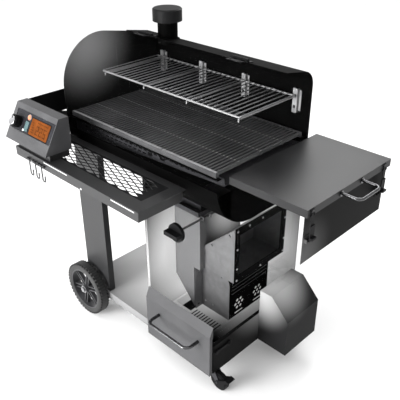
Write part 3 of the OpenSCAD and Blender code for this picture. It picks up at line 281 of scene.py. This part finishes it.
# Painted highlight on the left end cap's inner face, brightest towards its upper front and gone within 0.24
# m
INNER_CAP_HIGHLIGHT = painted_glow("end cap coat, painted highlight", (0.006, 0.006, 0.006), (0.2, 0.2, 0.202),
                  spot("left_end_cap", 0.5, 0.28, 0.9), 0.0, 0.24, 0.05, "left_end_cap")
# Painted shading: the hopper is lighter towards its lower front right corner and near black away from it
HOPPER_SHADING = painted_glow("hopper coat, painted shading", (0.004, 0.004, 0.004), (0.09, 0.09, 0.09),
                    spot("hopper_shell", 1.0, 0.0, 0.1), 0.0, 0.17, 0.01)
# Painted glow: the firebox sheet brightens and glows towards the top of the throat box
FIREBOX_GLOW = painted_glow("firebox sheet, painted glow", (0.12, 0.12, 0.122), (0.6, 0.6, 0.6),
                spot("throat_box", 0.0, 0.5, 0.85), 0.03, 0.15, 0.3)
CUTAWAY = cutaway("cutaway sheet")
GALVANISED = brushed("galvanised sheet", (0.105, 0.105, 0.107), (0.145, 0.145, 0.148),
                     (0.38, 0.5), metallic=0.35)
CHROME = brushed("chrome wire", (0.68, 0.68, 0.7), (0.8, 0.8, 0.82), (0.14, 0.22))
DARK_CHROME = brushed("smoked chrome", (0.07, 0.07, 0.072), (0.12, 0.12, 0.123), (0.2, 0.3))
GRATE = powder_coat("grate enamel", (0.05, 0.05, 0.052), (0.09, 0.09, 0.093), (0.3, 0.42), metallic=0.2)
GRATE_WELD = brushed("grate weld", (0.16, 0.16, 0.163), (0.24, 0.24, 0.243), (0.35, 0.45), metallic=0.3)
BRIGHT = brushed("bright steel", (0.6, 0.6, 0.61), (0.76, 0.76, 0.77), (0.3, 0.42), (60, 1, 1), 0.4)
ZINC = brushed("zinc plate", (0.3, 0.3, 0.31), (0.45, 0.45, 0.46), (0.28, 0.4), (1, 1, 8))
TYRE = moulded("tyre rubber", (0.008, 0.008, 0.008), (0.02, 0.02, 0.02), (0.55, 0.75), grain=700.0)
WHEEL = moulded("wheel plastic", (0.03, 0.03, 0.032), (0.05, 0.05, 0.053), (0.3, 0.42))
PLASTIC = moulded("black plastic", (0.004, 0.004, 0.0045), (0.009, 0.009, 0.0095), (0.35, 0.5), shine=0.06)
WIRE = brushed("rack wire", (0.26, 0.26, 0.265), (0.36, 0.36, 0.365), (0.3, 0.4), metallic=0.4)
HOUSING = moulded("controller plastic", (0.05, 0.05, 0.052), (0.07, 0.07, 0.073), (0.4, 0.52))
BEZEL = moulded("bezel plastic", (0.012, 0.012, 0.014), (0.02, 0.02, 0.024), (0.2, 0.3))
SILVER = brushed("turned aluminium", (0.55, 0.55, 0.56), (0.75, 0.75, 0.76), (0.2, 0.32))
HEATED = brushed("heated steel", (0.2, 0.17, 0.15), (0.36, 0.33, 0.32), (0.4, 0.6), (1, 1, 3))
LED = glowing("lit button", (0.62, 0.16, 0.08), (0.72, 0.24, 0.14), 0.35)
ROCKER = moulded("grey keys", (0.06, 0.1, 0.105), (0.1, 0.15, 0.155), (0.3, 0.45), shine=0.15)
SCREEN = glowing("amber screen", (0.085, 0.022, 0.002), (0.14, 0.036, 0.004), 0.36, 30.0)
SEGMENT = glowing("screen segments", (0.05, 0.012, 0.0), (0.09, 0.024, 0.002), 0.1)
TREADS = {side: tread(side + " tread", side + "_tyre") for side in ("front", "rear")}
# Painted light: the screens behind the blower's openings glow, though they are no lamp
VENT_GLOW = glowing("vent screen, painted glow", (0.4, 0.4, 0.4), (0.6, 0.6, 0.6), 0.4)
LAMP = glowing("white lamp", (0.9, 0.95, 1.0), (1.0, 1.0, 1.0), 1.0)

# The finish of each material slot, and the nodes that look otherwise than their slot
LOOKS = {
    "black_steel": BLACK, "dark_steel": DARK, "grey_steel": GREY, "cutaway_steel": CUTAWAY,
    "galvanised": GALVANISED, "cast_grate": GRATE, "zinc": ZINC, "wheel_plastic": WHEEL,
    "black_plastic": PLASTIC, "housing": HOUSING, "button": LED, "fan_metal": SILVER,
    "pot_steel": HEATED,
}
NODE_LOOKS = {
    "barrel_shell": SHADED_BLACK, "chimney_stack": SHADED_BLACK, "hopper_flange": SHADED_BLACK, "blower_box": SHADED_BLACK,
    "left_end_cap": INNER_CAP_HIGHLIGHT, "cabinet_panels": CABINET_GLOW, "firebox_shell": FIREBOX_GLOW,
    "side_housing": HOUSING_HIGHLIGHT, "bottom_shelf": SHELF_GLOW, "hopper_shell": HOPPER_SHADING,
    "hopper_lid": SHINY, "drip_tray": DARK, "front_caster_fork": DARK, "rear_caster_fork": DARK,
    "left_legs": RAIL, "shelf_frame": RAIL, "warming_rack": WIRE, "rack_brackets": WIRE,
    "utensil_hooks": DARK_CHROME, "hopper_handle": DARK_CHROME, "drawer_handle": DARK_CHROME,
    "front_latch": PLASTIC, "rear_latch": PLASTIC, "temperature_knob": PLASTIC,
    "menu_rocker": ROCKER, "front_tyre": TREADS["front"], "rear_tyre": TREADS["rear"],
}


def dress_nodes():
    """Gives every CAD node its finish."""
    slots = {s["node"]: s["material_slot"] for s in frame["record"]["subparts"]}
    for node, obj in frame["nodes"].items():
        look = NODE_LOOKS[node] if node in NODE_LOOKS else LOOKS[slots[node]]
        obj.data.materials.clear()
        obj.data.materials.append(look)
        for face in obj.data.polygons:
            face.material_index = 0


# ---- Pieces -----------------------------------------------------------------

def add_piece(name, verts, faces, material, body, smooth=False):
    """An object from vertices and faces, riding on a body."""
    mesh = bpy.data.meshes.new(name)
    mesh.from_pydata(verts, [], faces)
    mesh.materials.append(material)
    for face in mesh.polygons:
        face.use_smooth = smooth
    mesh.update()
    obj = bpy.data.objects.new(name, mesh)
    bpy.context.scene.collection.objects.link(obj)
    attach(obj, body)


def merged(parts):
    """One vertex and face list from several."""
    verts, faces = [], []
    for part_verts, part_faces in parts:
        first = len(verts)
        verts += part_verts
        faces += [tuple(first + i for i in face) for face in part_faces]
    return verts, faces


def brick(low, high, place=Matrix(), chamfer=0.0):
    """A box from low to high, its four upright edges cut by chamfer, carried by place."""
    (x0, y0, z0), (x1, y1, z1) = low, high
    c = chamfer
    if c:
        ring = [(x0 + c, y0), (x1 - c, y0), (x1, y0 + c), (x1, y1 - c),
                (x1 - c, y1), (x0 + c, y1), (x0, y1 - c), (x0, y0 + c)]
    else:
        ring = [(x0, y0), (x1, y0), (x1, y1), (x0, y1)]
    count = len(ring)
    verts = [tuple(place @ Vector((x, y, z))) for z in (z0, z1) for x, y in ring]
    faces = [tuple(range(count))[::-1], tuple(range(count, 2 * count))]
    faces += [(i, (i + 1) % count, count + (i + 1) % count, count + i) for i in range(count)]
    return verts, faces


def turned(profile, place, steps=48, closed=True):
    """A body of revolution about local z from (radius, height) pairs, from the foot to the top. It has
    flat ends when closed; otherwise the last pair joins the first, which makes a ring."""
    verts, faces = [], []
    for r, z in profile:
        verts += [tuple(place @ Vector((r * math.cos(2 * math.pi * i / steps),
                                        r * math.sin(2 * math.pi * i / steps), z))) for i in range(steps)]
    rows = len(profile)
    for row in range(rows - 1):
        for i in range(steps):
            j = (i + 1) % steps
            faces.append((row * steps + i, row * steps + j, (row + 1) * steps + j, (row + 1) * steps + i))
    if closed:
        faces.append(tuple(range(steps))[::-1])
        faces.append(tuple((rows - 1) * steps + i for i in range(steps)))
    else:
        last = (rows - 1) * steps
        faces += [(last + i, last + (i + 1) % steps, (i + 1) % steps, i) for i in range(steps)]
    return verts, faces


def dome_screw(at, normal, radius, height):
    """A pan-head screw with a round recess, standing on a face."""
    turn = Vector((0, 0, 1)).rotation_difference(Vector(normal)).to_matrix().to_4x4()
    place = Matrix.Translation(at) @ turn
    profile = [(radius, 0), (radius, height * 0.35), (radius * 0.86, height * 0.75),
               (radius * 0.55, height), (radius * 0.36, height), (radius * 0.3, height * 0.55)]
    return turned(profile, place, 24)


# ---- Controller -------------------------------------------------------------

def controller_face():
    """Frame on the controller's sloping face: x along it, y up it, z out of it, origin at its foot."""
    low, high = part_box("controller_housing")
    tilt = math.atan2(high[2] - low[2], FACE_RUN)
    return Matrix.Translation((low[0], low[1], low[2])) @ Matrix.Rotation(tilt, 4, "X")


def on_face(place, x, y, z):
    """The face's frame, moved to a point given in it."""
    return Matrix.Translation(place @ Vector((x, y, z))) @ place.to_3x3().to_4x4()


def segments(digit, x, y, width, height, stroke):
    """Bars of a seven-segment digit, as (x, y, x, y) corners on the face."""
    on = {"2": "abged", "5": "afgcd"}[digit]
    mid = y + height / 2
    bars = {
        "a": (x, y + height - stroke, x + width, y + height),
        "b": (x + width - stroke, mid, x + width, y + height),
        "c": (x + width - stroke, y, x + width, mid),
        "d": (x, y, x + width, y + stroke),
        "e": (x, y, x + stroke, mid),
        "f": (x, mid, x + stroke, y + height),
        "g": (x, mid - stroke / 2, x + width, mid + stroke / 2),
    }
    return [bars[k] for k in on]


def add_controller():
    """Bezel, screen, lamp and button ring, stacked in the recess of the controller's face."""
    place = controller_face()
    recess = -2.5 * MM
    bezel_top = recess + 0.6 * MM
    frame_top = bezel_top + 0.8 * MM
    glass_top = frame_top + 0.6 * MM
    keys_low, keys_high = (Vector(p) - place.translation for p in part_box("menu_rocker"))
    left, foot, top = keys_high.x + 11.5 * MM, 50 * MM, 113 * MM
    right = left + 120 * MM

    bezel = brick((22 * MM, 46 * MM, recess), (274 * MM, 126 * MM, bezel_top), place, 3 * MM)
    add_piece("bezel", *bezel, BEZEL, "cart")
    surround = brick((left - 3 * MM, foot - 3 * MM, bezel_top), (right + 3 * MM, top + 3 * MM, frame_top),
                     place, 2 * MM)
    add_piece("screen_frame", *surround, PLASTIC, "cart")
    screen = brick((left, foot, frame_top), (right, top, glass_top), place, 2 * MM)
    add_piece("screen", *screen, SCREEN, "cart")

    # Three digits, a fan of level bars to their left and a row of marks above
    bars = []
    for k, digit in enumerate("225"):
        bars += segments(digit, left + (40 + 24 * k) * MM, foot + 8 * MM, 17 * MM, 34 * MM, 4 * MM)
    for k in range(5):
        bars.append((left + 8 * MM, foot + (10 + 9 * k) * MM,
                     left + (30 - 3 * k) * MM, foot + (13 + 9 * k) * MM))
    for k in range(8):
        bars.append((left + (40 + 9 * k) * MM, top - 12 * MM, left + (46 + 9 * k) * MM, top - 7 * MM))
    boxes = [brick((a, b, glass_top), (c, d, frame_top + 0.8 * MM), place) for a, b, c, d in bars]
    add_piece("screen_digits", *merged(boxes), SEGMENT, "cart")

    dome = [(4 * MM, 0), (4 * MM, 1 * MM), (2.6 * MM, 2 * MM)]
    lamp = turned(dome, on_face(place, keys_low.x - 5.5 * MM, 55 * MM, bezel_top), 24)
    add_piece("status_lamp", *lamp, LAMP, "cart", True)
    button_low, button_high = (Vector(p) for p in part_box("power_button"))
    middle = place.inverted() @ ((button_low + button_high) / 2)
    collar = [(11 * MM, 0), (11.8 * MM, 0.5 * MM), (11.8 * MM, 1.4 * MM), (10 * MM, 1.6 * MM), (9.5 * MM, 0)]
    ring = turned(collar, on_face(place, middle.x, middle.y, bezel_top), closed=False)
    add_piece("power_ring", *ring, SILVER, "cart")


def add_dial():
    """Chrome cap and grip ribs on the temperature knob."""
    centre = on_face(controller_face(), *DIAL_AT, 0)
    cap = [(18.6 * MM, 31 * MM), (18.2 * MM, 31.9 * MM), (16.4 * MM, 32 * MM), (15.4 * MM, 31.4 * MM),
           (3 * MM, 31.4 * MM)]
    add_piece("dial_cap", *turned(cap, centre, 64), CHROME, "dial", True)
    ribs = []
    for k in range(DIAL_RIBS):
        turn = centre @ Matrix.Rotation(2 * math.pi * k / DIAL_RIBS, 4, "Z")
        ribs.append(brick((22.6 * MM, -0.9 * MM, 2 * MM), (23.7 * MM, 0.9 * MM, 25 * MM), turn))
    add_piece("dial_ribs", *merged(ribs), PLASTIC, "dial")


# ---- Wheels -----------------------------------------------------------------

def wheel_frame(node):
    """Frame at a wheel's middle, with z along its axle, its radius and its width."""
    low, high = (Vector(p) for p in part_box(node))
    middle = (low + high) / 2
    place = Matrix.Translation(middle) @ Matrix.Rotation(math.radians(90), 4, "X")
    return place, (high.z - low.z) / 2, high.y - low.y


def add_tread(tyre, body):
    """Two rows of lugs round a tyre, half a pitch apart."""
    place, radius, width = wheel_frame(tyre)
    lugs = []
    for side in (-1, 1):
        inner = side * width * 0.12
        outer = side * width * 0.46
        low = (radius - 7 * MM, -5.2 * MM, min(inner, outer))
        high = (radius - 0.2 * MM, 5.2 * MM, max(inner, outer))
        for k in range(TREAD_LUGS):
            turn = place @ Matrix.Rotation(2 * math.pi * (k + 0.25 * side) / TREAD_LUGS, 4, "Z")
            lugs.append(brick(low, high, turn, 1.2 * MM))
    add_piece(tyre + "_lugs", *merged(lugs), TYRE, body)


def add_hub_ring(wheel, body, outward):
    """Plated ring on the outward side of a wheel's hub."""
    place, _, width = wheel_frame(wheel)
    face = place @ Matrix.Translation((0, 0, outward * width / 2))
    if outward < 0:
        face = face @ Matrix.Rotation(math.pi, 4, "X")
    ring = [(17.5 * MM, 0), (17.5 * MM, 1.2 * MM), (13.5 * MM, 1.6 * MM), (12.2 * MM, 0)]
    add_piece(wheel + "_hub_ring", *turned(ring, face, closed=False), ZINC, body)


# ---- Grates, vents and screws -----------------------------------------------

def add_grate_noses():
    """Lighter strip along each grate's front bar, a painted highlight on its edge."""
    for side in ("left", "middle", "right"):
        low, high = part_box("grate_" + side)
        strip = brick((low[0] + 2 * MM, low[1] + 1 * MM, high[2] - 0.1 * MM),
                      (high[0] - 2 * MM, low[1] + 11 * MM, high[2] + 0.3 * MM))
        add_piece(f"nose_{side}", *strip, WIRE, side + "_grate")


def add_grate_welds():
    """Bright welds where the grates' bars lie on their cross bars."""
    for side in ("left", "middle", "right"):
        low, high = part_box("grate_" + side)
        pitch = (high[0] - low[0] + 1 * MM) / GRATE_BARS
        quarter = (high[1] - low[1] - 2 * MM) / 4
        welds = []
        for k in range(GRATE_BARS):
            x = low[0] - 0.5 * MM + (k + 0.5) * pitch
            for row in (1, 2, 3):
                y = low[1] + 2 * MM + row * quarter
                welds.append(brick((x - 3 * MM, y - 4 * MM, high[2] - 0.1 * MM),
                                   (x + 3 * MM, y + 4 * MM, high[2] + 0.5 * MM), chamfer=1.5 * MM))
        add_piece(f"welds_{side}", *merged(welds), GRATE_WELD, side + "_grate")


def add_blower_vents():
    """Lips over the blower's slots, in a lighter grey as a painted highlight, and screens behind its
    openings that glow as painted light.
    """
    low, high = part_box("blower_box")
    lips = []
    for k in range(5):
        z = high[2] - (16 + 17 * k) * MM
        lips.append(brick((high[0], low[1] + 13 * MM, z),
                          (high[0] + 2.5 * MM, high[1] - 13 * MM, z + 1.4 * MM)))
    # The lips are real, but their grey, lighter than the box, is a painted highlight along the slots
    add_piece("louver_lips", *merged(lips), GREY, "cart")
    fan_low, fan_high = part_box("fan_impeller")
    screens = []
    for y in ((fan_low[1] + fan_high[1]) / 2, high[1] - 62 * MM):
        screens.append(brick((high[0] - 3.6 * MM, y - 28 * MM, low[2] + 7 * MM),
                             (high[0] - 3 * MM, y + 28 * MM, low[2] + 82 * MM)))
    # The screens glow as painted light seen through the openings
    add_piece("vent_screens", *merged(screens), VENT_GLOW, "cart")


def add_screws():
    """Plated and bright screws where the sheets meet."""
    flange = []
    for y, z in ((0.035, 0.05), (0.035, 0.27), (0.035, 0.63), (0.035, 0.95), (0.25, 0.95), (0.5, 0.95),
                 (0.5, 0.05), (0.97, 0.05), (0.97, 0.3), (0.97, 0.7), (0.97, 0.95)):
        flange.append(dome_screw(spot("hopper_flange", 1, y, z), (1, 0, 0), 4.4 * MM, 1.6 * MM))
    add_piece("flange_screws", *merged(flange), ZINC, "cart", True)
    rail_low, rail_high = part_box("shelf_frame")
    rail = []
    for x in (rail_low[0] + 109 * MM, rail_low[0] + 424 * MM):
        at = (x, rail_low[1] + 8 * MM, rail_high[2] - 60 * MM)
        rail.append(dome_screw(at, (0, -1, 0), 4 * MM, 1.5 * MM))
    add_piece("bright_screws", *merged(rail), BRIGHT, "cart", True)
    arch_low, arch_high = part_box("arch_plate")
    plate = []
    for x in (arch_low[0] + 20 * MM, arch_low[0] + 60 * MM):
        at = (x, arch_high[1] - 2.1 * MM, arch_low[2] + 30 * MM)
        plate.append(dome_screw(at, (0, -1, 0), 4 * MM, 2 * MM))
    add_piece("plate_screws", *merged(plate), ZINC, "cart", True)


# ---- Studio -----------------------------------------------------------------

def add_camera():
    """The camera that takes the photo's view."""
    azimuth, elevation = math.radians(CAMERA_AZIMUTH), math.radians(CAMERA_ELEVATION)
    forward = Vector((-math.sin(azimuth) * math.cos(elevation), math.cos(azimuth) * math.cos(elevation),
                      -math.sin(elevation)))
    data = bpy.data.cameras.new("camera")
    data.lens = CAMERA_LENS
    data.sensor_width = 36
    data.clip_end = 50
    camera = bpy.data.objects.new("camera", data)
    camera.location = CAMERA_AT
    camera.rotation_mode = "QUATERNION"
    roll = Quaternion((0, 0, 1), math.radians(CAMERA_ROLL))
    camera.rotation_quaternion = forward.to_track_quat("-Z", "Y") @ roll
    bpy.context.scene.collection.objects.link(camera)
    bpy.context.scene.camera = camera


def add_softbox(name, at, target, size, power):
    """A square area light that faces a target."""
    data = bpy.data.lights.new(name, "AREA")
    data.size = size
    data.energy = power
    lamp = bpy.data.objects.new(name, data)
    lamp.location = at
    lamp.rotation_mode = "QUATERNION"
    lamp.rotation_quaternion = (Vector(target) - Vector(at)).to_track_quat("-Z", "Y")
    bpy.context.scene.collection.objects.link(lamp)


def add_studio():
    """White surroundings and floor, two softboxes and a broad sun."""
    world = bpy.data.worlds.new("studio")
    world.use_nodes = True
    background = world.node_tree.nodes["Background"]
    background.inputs["Color"].default_value = (1, 1, 1, 1)
    background.inputs["Strength"].default_value = 0.85
    bpy.context.scene.world = world
    bpy.context.scene.view_settings.view_transform = "Standard"
    # The clear sheets lie many deep in front of the feed motor
    bpy.context.scene.cycles.transparent_max_bounces = 32
    mat, shader, nodes, links = new_material("floor")
    links.new(ramp(nodes, links, noise(nodes, links, 1.5), (0.84, 0.84, 0.84), (0.88, 0.88, 0.88)),
              shader.inputs["Base Color"])
    shader.inputs["Roughness"].default_value = 0.9
    half = 14
    mesh = bpy.data.meshes.new("floor")
    mesh.from_pydata([(-half, -half, 0), (half, -half, 0), (half, half, 0), (-half, half, 0)],
                     [], [(0, 1, 2, 3)])
    mesh.materials.append(mat)
    floor = bpy.data.objects.new("floor", mesh)
    floor.location.z = -1 * MM
    bpy.context.scene.collection.objects.link(floor)
    add_softbox("front", (-0.9, -3.6, 1.2), (0, 0, 0.6), 2.2, 280)
    add_softbox("back", (-0.95, 2.3, 2.85), (0.4, 0, 0.9), 1.4, 50)
    data = bpy.data.lights.new("fill", "SUN")
    data.energy = 1.0
    data.angle = math.radians(60)
    fill = bpy.data.objects.new("fill", data)
    fill.rotation_euler = (math.radians(8), math.radians(-6), 0)
    bpy.context.scene.collection.objects.link(fill)


dress_nodes()
add_controller()
add_dial()
for tyre, wheel, body, outward in (("front_tyre", "front_wheel", "front_road_wheel", 1),
                                   ("rear_tyre", "rear_wheel", "rear_road_wheel", -1)):
    add_tread(tyre, body)
    add_hub_ring(wheel, body, outward)
add_grate_noses()
add_grate_welds()
add_blower_vents()
add_screws()
add_camera()
add_studio()
